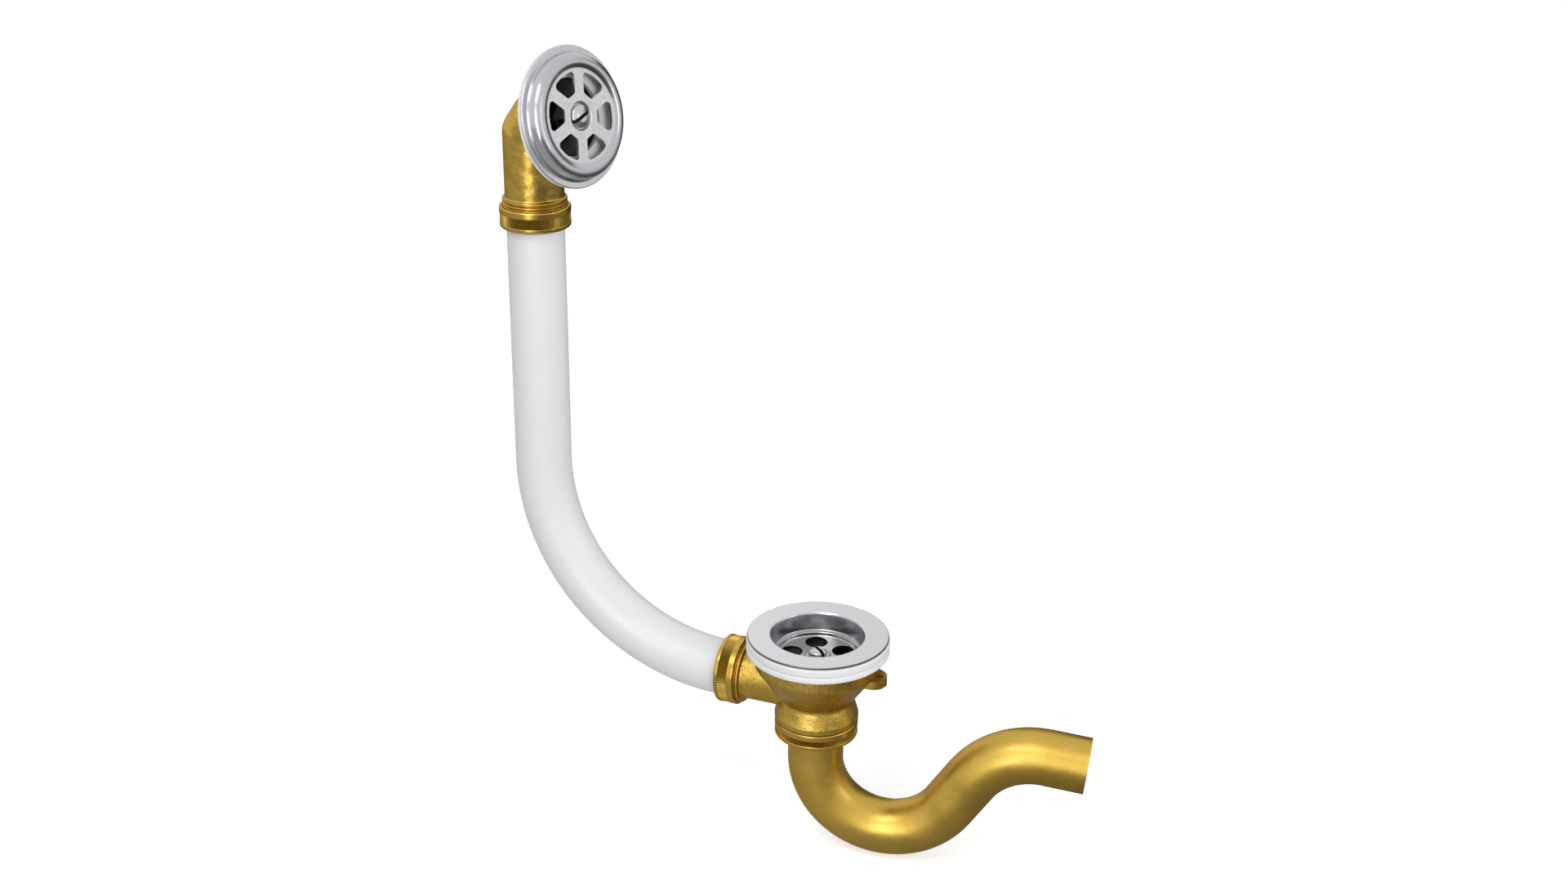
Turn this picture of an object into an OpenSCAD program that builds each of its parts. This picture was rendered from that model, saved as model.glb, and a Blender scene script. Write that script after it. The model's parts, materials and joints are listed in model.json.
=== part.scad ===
// Bath waste and overflow with an S-shaped tube trap.
// The origin is the middle of the drain flange's top face. +Z is up, and +X runs
// from the overflow past the drain towards the trap's outlet.

/* [Tubes] */
// Outside diameter of the brass trap tube
trap_tube_d = 28; // [22:0.5:36]
// Wall of the trap tube
trap_tube_wall = 1.2; // [0.8:0.1:2]
// Outside diameter of the white overflow pipe
pipe_d = 28; // [24:0.5:32]
// Wall of the overflow pipe
pipe_wall = 1.8; // [1.2:0.1:3]
// Length of each pipe end inside its nut and socket
pipe_insert = 12; // [10:0.5:13]

/* [Pipe and trap route] */
// Radius of the overflow pipe's bend, on its axis
pipe_bend_r = 99; // [60:1:140]
// Straight length of pipe above the bend
pipe_rise = 121; // [40:1:250]
// Straight length of trap tube under the trap nut
trap_drop = 13.4; // [6:0.2:60]
// Radius of the trap's lower bend, on its axis
dip_bend_r = 37.2; // [30:0.2:60]
// Angle of the lower bend
dip_angle = 147; // [130:1:170]
// Straight length between the two bends
link_length = 20.2; // [5:0.2:60]
// Radius of the upper bend, on its axis
crest_bend_r = 39.4; // [30:0.2:70]
// Fall of the outlet below the horizontal
outlet_fall = 5.4; // [0:0.2:10]
// Straight length of the outlet
outlet_length = 20; // [15:0.5:120]
// Turn of the trap tube about the drain's axis
trap_turn = 8.5; // [-90:0.5:90]

/* [Drain flange and cup] */
// Outside diameter of the drain flange
flange_d = 70; // [66:1:90]
// Thickness of the flange and cup sheet
sheet_t = 1.2; // [0.8:0.1:1.6]
// Inside diameter of the cup at its mouth
cup_mouth_d = 46; // [44:0.5:52]
// Depth of the cup from the flange top to its floor
cup_depth = 12; // [11:0.5:15]
// Height of the step in the cup's wall above the floor
ledge_h = 2.6; // [1.5:0.1:4]
// Width of the step in the cup's wall
ledge_w = 1.6; // [0.8:0.1:2]
// Lean of the cup's wall from the upright
cup_draft = 7; // [3:0.5:9]
// Number of round holes in the cup floor
floor_holes = 5; // [4:1:7]
// Diameter of each floor hole
floor_hole_d = 11.2; // [5:0.1:12]
// Turn of the floor holes about the cup's middle
hole_turn = 41; // [0:1:90]
// Height of the raised seat under the drain screw's head
seat_rise = 0.8; // [0.4:0.1:1.5]

/* [Sealing rings] */
// Distance that the white rings stand out past the flange
ring_proud = 0.5; // [0:0.1:3]
// Clearance between the cup's wall and the bore of the rings
ring_clear = 1.3; // [0.5:0.1:2]
// Thickness of the upper ring
upper_ring_t = 4.4; // [3:0.1:6]
// Thickness of the lower ring
lower_ring_t = 3.4; // [2:0.1:5]

/* [Waste body] */
// Wall of the casting
body_wall = 3; // [2.5:0.1:4]
// Gap between the cup and the inside of the bowl
bowl_clear = 3.9; // [2:0.1:6]
// Height of the bowl's upright side below its rim
bowl_side_h = 7; // [5:0.5:9]
// Height of the bowl's rim above the branch's axis
branch_drop = 20; // [19:0.5:26]
// Depth of the waist under the bowl below the branch's axis
waist_drop = 5.5; // [3:0.5:8]
// Outside diameter of the branch tube
branch_d = 26.6; // [24:0.2:28]
// Length of the branch tube between the bowl and the socket
branch_neck = 5.5; // [5:0.5:40]
// Inside diameter of the throat above the trap
throat_d = 29; // [26:0.5:32]
// Wall of the branch tube
branch_wall = 2.3; // [2:0.1:3]
// Distance from the branch tube down to the foot of the neck
collar_gap = 3.7; // [2.5:0.1:8]
// Height of the bead round the foot of the neck
bead_h = 2.8; // [2:0.1:4]
// Distance that the lug stands out from the bowl
lug_reach = 4.5; // [4:0.5:15]
// Width of the lug
lug_w = 14; // [10:0.5:20]
// Thickness of the lug
lug_t = 4.5; // [3:0.5:6]
// Diameter of the hole in the lug
lug_hole_d = 3.2; // [2.5:0.1:3.6]
// Distance from the lug's end to the middle of its hole
lug_hole_back = 3.2; // [2.6:0.1:3.4]
// Thickness of the bar that the drain screw holds on to
bridge_t = 5; // [4:0.5:6]
// Space between the cup and that bar
bridge_gap = 3.6; // [2:0.1:5]
// Width of both screw bars
bridge_w = 6; // [4:0.5:7]
// Diameter of the bosses in the screw bars
boss_d = 11; // [9:0.5:13]
// Height of the bosses
boss_h = 10; // [8:0.5:11]

/* [Compression joints] */
// Wall of the threaded sockets
socket_wall = 1.45; // [1.3:0.05:2.5]
// Wall of the nuts outside their threads
nut_wall = 1.5; // [1.2:0.1:3]
// Length of the two small nuts
nut_h = 10.5; // [10:0.5:13]
// Thickness of the nuts' end walls
nut_end_t = 1.8; // [1.5:0.1:2.2]
// Thickness of the slip ring in front of each seal
slip_t = 0.8; // [0.6:0.1:1.2]
// Height of the cone seal
seal_h = 4; // [3.5:0.1:4.6]
// Height of the cone on the seal
cone_h = 1.8; // [1.4:0.1:2]
// Length of thread that shows behind the branch nut
branch_thread = 2; // [1.6:0.1:6]
// Length of thread that shows above the overflow nut
overflow_thread = 4; // [3:0.1:6]
// Pitch of the thread that shows
thread_pitch = 1.6; // [1.2:0.1:2]
// Number of knurl teeth on each small nut
knurl_teeth = 116; // [60:2:130]
// Depth of the knurl
knurl_depth = 0.5; // [0.2:0.05:0.6]
// Height of the rounded lip in front of the knurl
lip_h = 2.3; // [2.3:0.1:3]
// Height of the knurled band
knurl_h = 4.8; // [2:0.1:5]
// Step from the smooth band down to the knurl
nut_step = 0.2; // [0.1:0.05:0.4]

/* [Trap joint] */
// Width of the collar brazed to the trap tube
trap_collar_w = 4; // [2.5:0.1:6]
// Thickness of the brazed collar
trap_collar_t = 1.8; // [1.2:0.1:2.5]
// Thickness of the flat seal above the collar
flat_seal_t = 2; // [1.5:0.1:2.5]
// Wall of the trap nut outside its thread
trap_nut_wall = 2.2; // [1.4:0.1:3]
// Length of the trap nut
trap_nut_h = 8.4; // [8:0.2:14]
// Height of the trap nut's knurled band
trap_knurl_h = 2.4; // [1.5:0.1:3]
// Number of knurl teeth on the trap nut
trap_knurl_teeth = 130; // [60:2:140]
// Step from the trap nut's smooth band down to its knurl
trap_nut_step = 0.7; // [0.2:0.1:1]

/* [Overflow plate] */
// Outside diameter of the overflow plate
plate_d = 66; // [64:0.5:76]
// Height of the plate's ridge above the back of its rim
plate_h = 7.3; // [6:0.1:11]
// Width of the plate's flat rim
plate_rim_w = 3.1; // [2.5:0.1:5]
// Width of the plate's ridge between its rim and its flat middle
plate_ridge_w = 7.5; // [6.5:0.1:9]
// Depth of the flat middle below the top of the ridge
plate_dip = 1.3; // [0.6:0.1:2]
// Number of windows in the plate
windows = 6; // [4:1:8]
// Width of the spokes between the windows
spoke_w = 5.8; // [3:0.1:6.5]
// Inner radius of the windows
window_in_r = 10.5; // [9:0.1:12]
// Distance from the windows to the edge of the flat middle
window_edge = 1.8; // [1.5:0.1:4]
// Turn of the windows about the plate's middle
window_turn = -10; // [-30:1:30]
// Depth of the dish under the overflow screw's head
dish_depth = 1.7; // [0.8:0.1:2]
// Thickness of the white gasket behind the plate
gasket_t = 2; // [1.6:0.1:4]
// Distance that the gasket reaches in past the windows' outer edge
gasket_cover = 2.6; // [1:0.1:4]

/* [Overflow elbow] */
// Outside diameter of the elbow
elbow_d = 28.6; // [28:0.1:31]
// Wall of the elbow
elbow_wall = 2.5; // [2:0.1:3]
// Length that the elbow's slanted knee takes off its corner
knee_back = 5.6; // [2:0.1:8]
// Height of the mouth's centre above the lower end of the nut
mouth_height = 56.5; // [55:0.5:70]
// Distance from the pipe's axis to the back of the plate
mouth_reach = 25.5; // [25:0.5:40]
// Upward tilt of the mouth
mouth_tilt = 12.5; // [0:0.5:16]
// Turn of the elbow about the pipe
mouth_turn = -16; // [-60:1:60]
// Width of the face on the mouth's flange
mouth_face_w = 8.5; // [6:0.1:10]
// Thickness of the mouth's flange
mouth_flange_t = 3.5; // [2.5:0.1:5]

/* [Screws] */
// Diameter of both screws
screw_d = 6; // [5:0.5:6.5]
// Diameter of the overflow screw's head
overflow_head_d = 11; // [9.6:0.1:12.4]
// Diameter of the drain screw's head
drain_head_d = 9.2; // [8.4:0.1:12]
// Height of both heads
head_h = 3; // [2:0.1:4]
// Width of the slots
slot_w = 1.5; // [1:0.1:2.4]
// Turn of the drain screw's slot
drain_slot_turn = -36; // [-90:1:90]
// Turn of the overflow screw's slot
overflow_slot_turn = 110; // [0:1:180]

/* [Hidden] */
$fn = 96;
arc_step = 15;

// Clearances
slide_gap = 0.15;
seal_gap = 0.05;
thread_gap = 0.1;
hole_gap = 0.4;
stop_gap = 0.3;
nut_gap = 0.4;
overlap = 1;
socket_lap = 6;
bore_lap = 4;
bend_draw = 0.05;
bend_lap = 0.5;
knee_swell = 0.03;

// Small steps, slopes and margins
bowl_extra = 0.4;
waist_extra = 0.9;
waist_floor = 1.4;
seat_margin = 0.8;
seat_slope = 1.4;
seat_draw = 0.4;
floor_lean = 0.3;
step_drop = 0.6;
socket_lip = 0.4;
cone_tip = 0.3;
thread_over_collar = 0.6;
foot_proud = 0.1;
lug_sink = 1;
dish_margin = 0.5;
dish_slope = 0.8;
ridge_lean = 1.4;
ridge_inside = 1.6;
disc_lean = 0.2;
boss_sink = 4;
bar_sink = 3;
gasket_in = 0.3;
gasket_back = 0.2;
funnel_sink = 2.5;
bell_wall = 2.5;
bell_slope = 1.1;
cone_tail = 5;
bore_draw = 2;
bell_draw = 1.5;
bell_rise = 0.2;
screw_end = 1;
screw_chamfer = 0.6;

// Heights of the drain's stack
cup_r = cup_mouth_d / 2;
cup_out_r = cup_r + sheet_t;
ring_bore_r = cup_out_r + ring_clear;
upper_ring_z = -sheet_t;
lower_ring_z = upper_ring_z - upper_ring_t;
rim_z = lower_ring_z - lower_ring_t;
ring_r = flange_d / 2 + ring_proud;

// Cup
draft_in = (cup_depth - ledge_h) * tan(cup_draft);
ledge_r = cup_r - draft_in;
floor_r = ledge_r - ledge_w;
seat_r = drain_head_d / 2 + seat_margin;
seat_foot_r = seat_r + seat_slope;
hole_ring_r = (seat_foot_r + floor_r) / 2;
seat_z = seat_rise - cup_depth;

// Waste body
bowl_in_r = cup_out_r + bowl_clear;
bowl_r = bowl_in_r + body_wall + bowl_extra;
branch_z = rim_z - branch_drop;
waist_z = branch_z - waist_drop;
collar_z = branch_z - branch_d / 2 - collar_gap;
throat_r = throat_d / 2;
waist_r = throat_r + body_wall + waist_extra;
shoulder_z = rim_z - bowl_side_h;
bridge_z = -cup_depth - sheet_t - bridge_gap;

// Compression joints, measured from the outer face of the nut
pipe_r = pipe_d / 2;
socket_bore_r = pipe_r + slide_gap;
thread_r = socket_bore_r + socket_wall;
nut_bore_r = thread_r + thread_gap;
nut_r = nut_bore_r + nut_wall;
slip_z = nut_end_t;
seal_z = slip_z + slip_t;
cone_z = seal_z + seal_h - cone_h;
branch_socket_top = nut_h + branch_thread;
overflow_socket_top = nut_h + overflow_thread;
stop_z = pipe_insert + stop_gap;
cone_foot_r = thread_r - socket_lip;
groove_half = 0.5;
groove_depth = 0.65;
cone_tip_r = socket_bore_r + cone_tip;

// Trap joint
trap_r = trap_tube_d / 2;
trap_collar_r = trap_r + trap_collar_w;
trap_thread_r = trap_collar_r + thread_over_collar;
trap_bore_r = trap_thread_r + thread_gap;
trap_nut_r = trap_bore_r + trap_nut_wall;
trap_nut_z = collar_z - nut_gap - trap_nut_h;
trap_collar_z = trap_nut_z + nut_end_t;
trap_seal_z = trap_collar_z + trap_collar_t;
body_end_z = trap_seal_z + flat_seal_t;
trap_top_z = trap_collar_z + trap_collar_t;

// Places of the two compression joints
branch_face_x = -(bowl_r + branch_neck + branch_socket_top);
pipe_x = branch_face_x - pipe_bend_r;
pipe_top_z = branch_z + pipe_bend_r + pipe_rise;

// Overflow head
elbow_r = elbow_d / 2;
elbow_bore_r = elbow_r - elbow_wall;
plate_foot_r = plate_d / 2 - plate_rim_w;
disc_r = plate_foot_r - plate_ridge_w;
window_out_r = disc_r - window_edge;
mouth_in_r = window_out_r - gasket_cover;
mouth_r = mouth_in_r + mouth_face_w;
axis_back = mouth_reach / cos(mouth_tilt);
axis_height = mouth_height - mouth_reach * tan(mouth_tilt);
disc_top = plate_h - plate_dip;
dish_r = overflow_head_d / 2 + dish_margin;
head_seat = disc_top - dish_depth;
ridge_r = plate_foot_r - ridge_lean;
boss_top = -gasket_t - boss_sink;

function unit(v) = v / norm(v);
function angle_of(v) = atan2(v.y, v.x);
function flat(p) = [p.x, p.y];

// Arc of radius r that rounds the corner b between a and c
function corner(a, b, c, r) =
    let (to_a = unit(a - b),
         to_c = unit(c - b),
         half = acos(to_a * to_c) / 2,
         back = r / tan(half),
         middle = b + unit(to_a + to_c) * r / sin(half),
         start = angle_of(b + to_a * back - middle),
         turn = angle_of(b + to_c * back - middle) - start,
         sweep = turn > 180 ? turn - 360 : turn < -180 ? turn + 360 : turn,
         steps = max(2, ceil(abs(sweep) / arc_step)))
    [for (i = [0 : steps])
        let (a = start + sweep * i / steps) middle + r * [cos(a), sin(a)]];

// Outline through corners given as [x, y, rounding]
function outline(p) =
    let (n = len(p))
    [for (i = [0 : n - 1])
        each (p[i].z > 0
            ? corner(flat(p[(i + n - 1) % n]), flat(p[i]), flat(p[(i + 1) % n]), p[i].z)
            : [flat(p[i])])];

// Turned piece whose half section has the corners [radius, height, rounding]
module turned(p) {
    rotate_extrude() polygon(outline(p));
}

module ring(inner_r, outer_r, h, rounding) {
    turned([[inner_r, 0, 0], [outer_r, 0, rounding], [outer_r, h, rounding], [inner_r, h, 0]]);
}

module tube_section(d, wall) {
    difference() {
        circle(d = d);
        circle(d = d - 2 * wall);
    }
}

module tube_run(l, d, wall) {
    linear_extrude(l) tube_section(d, wall);
}

// Bend that starts along +Z and turns towards +X
module tube_bend(r, angle, d, wall) {
    translate([r, 0, 0]) rotate([90, 0, 0]) rotate([0, 0, 180 - angle])
        rotate_extrude(angle = angle) translate([r, 0]) tube_section(d, wall);
}

// Carries its children to the end of such a bend
module after_bend(r, angle) {
    translate([r * (1 - cos(angle)), 0, r * sin(angle)]) rotate([0, angle, 0]) children();
}

// Frames: the branch joint runs along +X, the overflow joint along +Z
module at_branch() {
    translate([branch_face_x, 0, branch_z]) rotate([0, 90, 0]) children();
}

module at_overflow() {
    translate([pipe_x, 0, pipe_top_z]) rotate([0, 0, mouth_turn]) children();
}

// Frame of the elbow's mouth, with +Z out of the mouth
module at_mouth() {
    translate([mouth_reach, 0, mouth_height]) rotate([0, 90 - mouth_tilt, 0]) children();
}

// Toothed band with straight knurling
module knurl(teeth, r, bore_r, h) {
    linear_extrude(h) difference() {
        polygon([for (i = [0 : 2 * teeth - 1])
            let (a = 180 * i / teeth, tip = i % 2 == 0 ? r : r - knurl_depth)
            tip * [cos(a), sin(a)]]);
        circle(r = bore_r);
    }
}

// Union nut: rounded lip with the end wall, knurled band a little below it, smooth band
module union_nut(tube_r, bore_r, r, h, teeth, band_h, inset) {
    band_z = lip_h + band_h;
    hole_r = tube_r + hole_gap;
    turned([[hole_r, 0, 0.3], [r, 0, 1.3], [r, lip_h, 0.3],
            [bore_r, lip_h, 0], [bore_r, nut_end_t, 0], [hole_r, nut_end_t, 0]]);
    translate([0, 0, lip_h]) knurl(teeth, r - inset, bore_r, band_h);
    turned([[bore_r, band_z, 0], [r - inset, band_z, 0.3], [r, band_z + inset, 0.3],
            [r, h, 0.8], [bore_r, h, 0.3]]);
}

module small_nut() {
    union_nut(pipe_r, nut_bore_r, nut_r, nut_h, knurl_teeth, knurl_h, nut_step);
}

module slip_ring() {
    translate([0, 0, slip_z]) ring(pipe_r + slide_gap, cone_foot_r, slip_t, 0.2);
}

module cone_seal() {
    turned([[pipe_r + seal_gap, seal_z, 0],
            [cone_foot_r - seal_gap, seal_z, 0.3],
            [cone_foot_r - seal_gap, cone_z, 0],
            [cone_tip_r - seal_gap, cone_z + cone_h - seal_gap, 0],
            [pipe_r + seal_gap, cone_z + cone_h - seal_gap, 0]]);
}

// Outside of a threaded socket, with the last turns of thread behind the nut
module socket_outside(tube_r, thread_length) {
    top = nut_h + thread_length;
    grooves = [for (i = [0 : floor(thread_length / thread_pitch) - 1])
        let (z = nut_h + thread_pitch * (i + 0.4))
        each [[thread_r, z - groove_half, 0.2], [thread_r - groove_depth, z, 0],
              [thread_r, z + groove_half, 0.2]]];
    turned(concat([[0, cone_z, 0], [thread_r, cone_z, 0.3]], grooves,
                  [[thread_r, top, 0.4], [tube_r, top, 0.8],
                   [tube_r, top + socket_lap, 0], [0, top + socket_lap, 0]]));
}

// Bore of a threaded socket: chamfer for the seal, pipe bore and stop
module socket_bore(inner_r, top) {
    turned([[0, cone_z - overlap, 0], [cone_foot_r, cone_z - overlap, 0],
            [cone_foot_r, cone_z, 0], [cone_tip_r, cone_z + cone_h, 0],
            [socket_bore_r, cone_z + cone_h, 0], [socket_bore_r, stop_z, 0],
            [inner_r, stop_z, 0.4], [inner_r, top + bore_lap, 0], [0, top + bore_lap, 0]]);
}

// Slotted screw whose head rests on z = 0 and whose shank reaches down
module slotted_screw(head_d, length) {
    slot_depth = head_h * 0.55;
    difference() {
        turned([[0, -length, 0], [screw_d / 2 - screw_chamfer, -length, 0],
                [screw_d / 2, screw_chamfer - length, 0],
                [screw_d / 2, 0, 0], [head_d / 2, 0, 0.3], [head_d / 2, head_h * 0.6, 1],
                [head_d / 4, head_h, 2], [0, head_h, 0]]);
        translate([-head_d, -slot_w / 2, head_h - slot_depth]) cube([2 * head_d, slot_w, head_h]);
    }
}

// Sheet flange with its cup: flange top, cup wall, step, floor and raised screw seat
module waste_flange() {
    step_z = ledge_h - cup_depth;
    hole_r = screw_d / 2 + hole_gap;
    color("silver") difference() {
        turned([[flange_d / 2, 0, 0.5], [cup_r, 0, 1.4],
                [ledge_r, step_z, 0.8], [floor_r, step_z - step_drop, 0.6],
                [floor_r - floor_lean, -cup_depth, 0.8],
                [seat_foot_r, -cup_depth, 0.6], [seat_r, seat_z, 0.5],
                [hole_r, seat_z, 0],
                [hole_r, seat_z - sheet_t, 0], [seat_r - seat_draw, seat_z - sheet_t, 0.5],
                [seat_foot_r - seat_draw, -cup_depth - sheet_t, 0.6],
                [floor_r + sheet_t - floor_lean, -cup_depth - sheet_t, 1.6],
                [floor_r + sheet_t, step_z - sheet_t - step_drop, 0.5],
                [ledge_r + sheet_t, step_z - sheet_t, 1.4],
                [cup_out_r, -sheet_t, 0.5], [flange_d / 2, -sheet_t, 0.4]]);
        for (i = [0 : floor_holes - 1])
            rotate([0, 0, hole_turn + 360 * i / floor_holes])
                translate([hole_ring_r, 0, -cup_depth - 2 * sheet_t])
                    cylinder(d = floor_hole_d, h = 3 * sheet_t);
    }
}

module waste_screw() {
    color("gainsboro") translate([0, 0, seat_z]) rotate([0, 0, drain_slot_turn])
        slotted_screw(drain_head_d, seat_z - bridge_z + boss_h - screw_end);
}

module upper_ring() {
    color("white") translate([0, 0, lower_ring_z])
        ring(ring_bore_r, ring_r, upper_ring_t, 1.2);
}

module lower_ring() {
    color("white") translate([0, 0, rim_z])
        ring(ring_bore_r, ring_r, lower_ring_t, 1.2);
}

// Hollow of the bowl and throat, grown by an amount on its sides
module bowl_hollow(grow) {
    turned([[0, rim_z + overlap, 0], [bowl_in_r + grow, rim_z + overlap, 0],
            [bowl_in_r + grow, shoulder_z, 7], [throat_r + grow, waist_z + waist_floor, 4],
            [throat_r + grow, body_end_z - overlap, 0], [0, body_end_z - overlap, 0]]);
}

// Cast body: bowl, side branch with its socket, neck with its thread, lug and screw bar
module waste_body() {
    branch_l = -branch_face_x - branch_socket_top;
    lug_z = shoulder_z - lug_t - lug_sink;
    lug_end_x = bowl_r + lug_reach;
    lug_round_x = lug_end_x - lug_w / 2;
    foot_r = trap_nut_r + foot_proud;
    color("goldenrod") difference() {
        union() {
            difference() {
                union() {
                    turned([[0, rim_z, 0], [bowl_r, rim_z, 0.8], [bowl_r, shoulder_z, 4],
                            [waist_r, waist_z, 2.5],
                            [foot_r, collar_z + bead_h, 0.8],
                            [foot_r, collar_z, 0.6],
                            [trap_thread_r, collar_z, 0], [trap_thread_r, body_end_z, 0.4],
                            [0, body_end_z, 0]]);
                    at_branch() {
                        socket_outside(branch_d / 2, branch_thread);
                        translate([0, 0, branch_socket_top])
                            cylinder(d = branch_d, h = branch_l - throat_r / 2);
                    }
                    translate([0, 0, lug_z]) linear_extrude(lug_t) {
                        translate([lug_round_x, 0]) circle(d = lug_w);
                        translate([throat_r, -lug_w / 2]) square([lug_round_x - throat_r, lug_w]);
                    }
                }
                bowl_hollow(0);
                at_branch() {
                    socket_bore(branch_d / 2 - branch_wall, branch_socket_top);
                    translate([0, 0, branch_socket_top])
                        cylinder(d = branch_d - 2 * branch_wall, h = branch_l - throat_r / 3);
                }
                translate([lug_end_x - lug_hole_back, 0, lug_z - overlap])
                    cylinder(d = lug_hole_d, h = lug_t + 2 * overlap);
            }
            intersection() {
                translate([-bridge_w / 2, -bowl_r, bridge_z - bridge_t])
                    cube([bridge_w, 2 * bowl_r, bridge_t]);
                bowl_hollow(body_wall / 2);
            }
            translate([0, 0, bridge_z - boss_h]) cylinder(d = boss_d, h = boss_h);
        }
        translate([0, 0, bridge_z - boss_h - overlap])
            cylinder(d = screw_d + 2 * seal_gap, h = boss_h + 2 * overlap);
    }
}

module trap_nut() {
    color("goldenrod") translate([0, 0, trap_nut_z])
        union_nut(trap_r, trap_bore_r, trap_nut_r, trap_nut_h, trap_knurl_teeth,
                  trap_knurl_h, trap_nut_step);
}

module trap_seal() {
    color("dimgray") translate([0, 0, trap_seal_z])
        ring(throat_r, trap_thread_r - socket_lip, flat_seal_t, 0.2);
}

// Ring brazed to the top of the trap tube
module trap_collar() {
    color("darkgoldenrod") translate([0, 0, trap_collar_z])
        ring(trap_r, trap_collar_r, trap_collar_t, 0.3);
}

// Rod that follows a bend which starts along +Z and turns towards +X
module rod_bend(r, angle, d) {
    translate([r, 0, 0]) rotate([90, 0, 0])
        rotate_extrude(angle = angle, start = 180 - angle) translate([r, 0]) circle(d = d);
}

// Rod along the trap tube's route, with its two ends longer by an amount.
// The bends are drawn in a little, and the straight lengths lap over them.
module trap_route(d, extra) {
    drop = trap_top_z - trap_nut_z + trap_drop;
    rise_angle = dip_angle - 90 + outlet_fall;
    bend_d = d - 2 * bend_draw;
    translate([0, 0, trap_top_z]) rotate([180, 0, 0]) {
        translate([0, 0, -extra]) cylinder(d = d, h = drop + extra + bend_lap);
        translate([0, 0, drop]) {
            rod_bend(dip_bend_r, dip_angle, bend_d);
            after_bend(dip_bend_r, dip_angle) {
                translate([0, 0, -bend_lap]) cylinder(d = d, h = link_length + 2 * bend_lap);
                translate([0, 0, link_length]) mirror([1, 0, 0]) {
                    rod_bend(crest_bend_r, rise_angle, bend_d);
                    after_bend(crest_bend_r, rise_angle) translate([0, 0, -bend_lap])
                        cylinder(d = d, h = outlet_length + extra + bend_lap);
                }
            }
        }
    }
}

module trap_tube() {
    color("goldenrod") rotate([0, 0, trap_turn]) difference() {
        trap_route(trap_tube_d, 0);
        trap_route(trap_tube_d - 2 * trap_tube_wall, overlap);
    }
}

module branch_nut() {
    color("goldenrod") at_branch() small_nut();
}

module branch_slip_ring() {
    color("darkgoldenrod") at_branch() slip_ring();
}

module branch_seal() {
    color("dimgray") at_branch() cone_seal();
}

module overflow_pipe() {
    color("whitesmoke") translate([branch_face_x + pipe_insert, 0, branch_z]) rotate([0, -90, 0]) {
        tube_run(pipe_insert, pipe_d, pipe_wall);
        translate([0, 0, pipe_insert]) {
            tube_bend(pipe_bend_r, 90, pipe_d, pipe_wall);
            after_bend(pipe_bend_r, 90) tube_run(pipe_rise + pipe_insert, pipe_d, pipe_wall);
        }
    }
}

module overflow_nut() {
    color("goldenrod") at_overflow() small_nut();
}

module overflow_slip_ring() {
    color("darkgoldenrod") at_overflow() slip_ring();
}

module overflow_seal() {
    color("dimgray") at_overflow() cone_seal();
}

// Hollow behind the mouth, seen from the mouth's frame
module mouth_hollow(grow) {
    funnel_z = -gasket_t - funnel_sink;
    bore_z = funnel_z - mouth_in_r + elbow_bore_r;
    turned([[0, overlap - gasket_t, 0], [mouth_in_r + grow, overlap - gasket_t, 0],
            [mouth_in_r + grow, funnel_z, 2], [elbow_bore_r + grow, bore_z, 4],
            [elbow_bore_r - bore_draw + grow, bore_z - cone_tail, 0],
            [0, bore_z - cone_tail, 0]]);
}

// Rod along the elbow's axis: upright from a height, slanted knee, arm that ends in the mouth
module elbow_route(r, from_z, arm_end) {
    knee_turn = (90 - mouth_tilt) / 2;
    translate([0, 0, from_z]) cylinder(r = r, h = axis_height - knee_back - from_z);
    translate([0, 0, axis_height - knee_back]) {
        sphere(r = r + knee_swell);
        rotate([0, knee_turn, 0]) cylinder(r = r, h = 2 * knee_back * cos(knee_turn));
    }
    at_mouth() translate([0, 0, knee_back - axis_back]) {
        sphere(r = r + knee_swell);
        cylinder(r = r, h = axis_back - knee_back + arm_end);
    }
}

// Cast elbow: socket, upright tube, bell mouth with its flange, and screw bar
module overflow_elbow() {
    flange_back = -gasket_t - mouth_flange_t;
    bell_r = mouth_in_r + bell_wall;
    bell_end = flange_back - (bell_r - elbow_r) * bell_slope;
    color("goldenrod") at_overflow() difference() {
        union() {
            difference() {
                union() {
                    socket_outside(elbow_r, overflow_thread);
                    elbow_route(elbow_r, overflow_socket_top, flange_back + overlap);
                    at_mouth() turned([[0, -gasket_t, 0], [mouth_r, -gasket_t, 0.4],
                            [mouth_r, flange_back, 0.6], [bell_r, flange_back, 1.5],
                            [elbow_r + bell_rise, bell_end, 5],
                            [elbow_r - bell_draw, bell_end - cone_tail, 0],
                            [0, bell_end - cone_tail, 0]]);
                }
                at_mouth() mouth_hollow(0);
                socket_bore(elbow_bore_r, overflow_socket_top);
                elbow_route(elbow_bore_r, overflow_socket_top, boss_top);
            }
            at_mouth() {
                intersection() {
                    translate([-bridge_w / 2, -mouth_r, boss_top - bar_sink - bridge_t])
                        cube([bridge_w, 2 * mouth_r, bridge_t]);
                    mouth_hollow(bell_wall / 2);
                }
                translate([0, 0, boss_top - boss_h]) cylinder(d = boss_d, h = boss_h);
            }
        }
        at_mouth() translate([0, 0, boss_top - boss_h - overlap])
            cylinder(d = screw_d + 2 * seal_gap, h = boss_h + 2 * overlap);
    }
}

module overflow_gasket() {
    color("white") at_overflow() at_mouth() translate([0, 0, -gasket_t])
        ring(mouth_in_r + gasket_in, plate_d / 2 - gasket_back, gasket_t, 0.6);
}

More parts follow.
